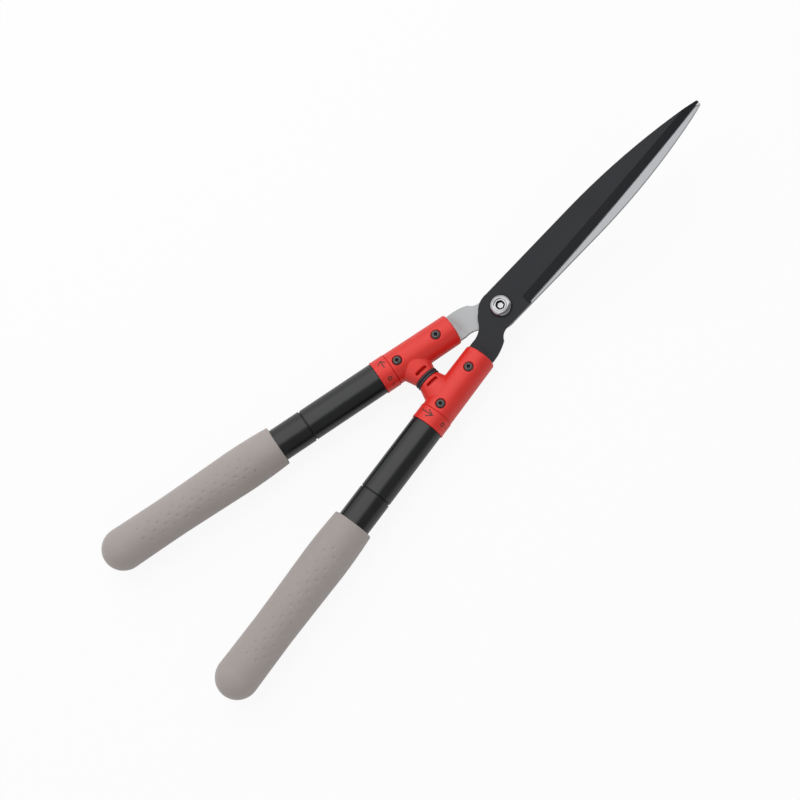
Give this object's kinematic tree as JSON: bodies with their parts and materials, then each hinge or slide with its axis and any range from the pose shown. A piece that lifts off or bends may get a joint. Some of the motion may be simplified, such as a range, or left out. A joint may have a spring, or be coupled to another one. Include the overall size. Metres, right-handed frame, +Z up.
{
  "type": "hedge shears",
  "caption": "Hedge shears with cranked telescopic handles, soft grips, moulded housings with rubber bumpers, and two straight blades on a pivot bolt.",
  "frame": {"origin": "centre of the floor under the closed shears, which lie on their grips and housings", "axes": "+Y from the grips to the blade tips, +X to the right seen from above with the tips ahead, +Z up from the floor, on the pivot bolt head's side"},
  "size_m": [0.1906, 0.6478, 0.077],
  "materials": {
    "black_coated_steel": "satin non-stick coating",
    "ground_steel": "finely ground, bead blasted tang",
    "chrome": "bright chrome plate",
    "zinc_plated_steel": "zinc plate",
    "white_nylon": "natural nylon",
    "red_nylon": "satin moulded nylon",
    "black_steel": "black oxide",
    "black_rubber": "matt moulded rubber",
    "bare_aluminium": "drawn tube",
    "black_plastic": "moulded polypropylene",
    "black_painted_tube": "satin black paint on aluminium",
    "grey_soft_grip": "matt soft-touch rubber with fine dimples"
  },
  "bodies": {
    "right_half": {"upper_blade": "black_coated_steel", "pivot_bolt": "chrome", "friction_washer": "white_nylon", "thrust_washer": "zinc_plated_steel", "cone_washer": "zinc_plated_steel", "pivot_nut": "zinc_plated_steel", "right_housing": "red_nylon", "right_housing_screws": "black_steel", "right_housing_nuts": "zinc_plated_steel", "right_bumper": "black_rubber", "right_collar": "red_nylon", "right_inner_tube": "bare_aluminium", "right_lock_core": "black_plastic", "right_lock_washer": "zinc_plated_steel", "right_lock_screw": "zinc_plated_steel"},
    "right_lock": {"right_lock_cam": "white_nylon"},
    "right_handle": {"right_outer_tube": "bare_aluminium", "right_guide_bush": "white_nylon", "right_sleeve": "black_painted_tube", "right_grip_core": "black_plastic", "right_grip": "grey_soft_grip"},
    "left_half": {"lower_blade": "ground_steel", "left_housing": "red_nylon", "left_housing_screws": "black_steel", "left_housing_nuts": "zinc_plated_steel", "left_bumper": "black_rubber", "left_collar": "red_nylon", "left_inner_tube": "bare_aluminium", "left_lock_core": "black_plastic", "left_lock_washer": "zinc_plated_steel", "left_lock_screw": "zinc_plated_steel"},
    "left_lock": {"left_lock_cam": "white_nylon"},
    "left_handle": {"left_outer_tube": "bare_aluminium", "left_guide_bush": "white_nylon", "left_sleeve": "black_painted_tube", "left_grip_core": "black_plastic", "left_grip": "grey_soft_grip"}
  },
  "joints": [
    {"name": "pivot", "type": "hinge", "parent": "right_half", "child": "left_half", "pos_m": [0, 0.08132, 0.02773], "axis": [0, 0.1908, -0.9816], "range_deg": [0, 55]},
    {"name": "right_twist", "type": "hinge", "parent": "right_half", "child": "right_lock", "pos_m": [0.07045, -0.27146, 0.0201], "axis": [0.1675, -0.9859, 0], "range_deg": [-20, 20]},
    {"name": "right_extension", "type": "slide", "parent": "right_lock", "child": "right_handle", "axis": [0.1675, -0.9859, 0], "range_m": [0, 0.2]},
    {"name": "left_twist", "type": "hinge", "parent": "left_half", "child": "left_lock", "pos_m": [-0.07045, -0.27146, 0.0201], "axis": [-0.1675, -0.9859, 0], "range_deg": [-20, 20]},
    {"name": "left_extension", "type": "slide", "parent": "left_lock", "child": "left_handle", "axis": [-0.1675, -0.9859, 0], "range_m": [0, 0.2]}
  ]
}
